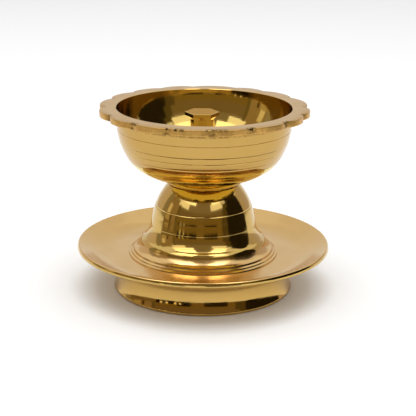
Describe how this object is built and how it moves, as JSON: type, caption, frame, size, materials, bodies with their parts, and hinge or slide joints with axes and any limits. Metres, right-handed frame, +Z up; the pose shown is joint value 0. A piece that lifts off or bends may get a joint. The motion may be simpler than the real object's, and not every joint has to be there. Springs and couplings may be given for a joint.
{
  "type": "butter lamp",
  "caption": "Turned brass butter lamp: a scalloped oil bowl with a hex-headed wick post, screwed down on a domed stand with a drip tray and ring foot.",
  "frame": {"origin": "middle of the ring foot, on the floor", "axes": "+Z up along the turning axis, -Y towards the picture's viewer"},
  "size_m": [0.075, 0.075, 0.055],
  "materials": {
    "stand_brass": "polished, turned",
    "bowl_brass": "polished, turned, filed rim",
    "post_brass": "polished, machined"
  },
  "bodies": {
    "stand": {"stand": "stand_brass"},
    "bowl": {"oil_bowl": "bowl_brass"},
    "post": {"wick_post": "post_brass"}
  },
  "joints": [
    {"name": "bowl_lift", "type": "slide", "parent": "stand", "child": "bowl", "axis": [0, 0, 1], "range_m": [0, 0.005]},
    {"name": "post_turn", "type": "hinge", "parent": "bowl", "child": "post", "pos_m": [0, 0, 0.036], "axis": [0, 0, 1], "range_deg": [0, 1800]}
  ],
  "couplings": [
    {"joint": "post_turn", "follows": "bowl_lift", "rad_per_m": 6283.2}
  ]
}
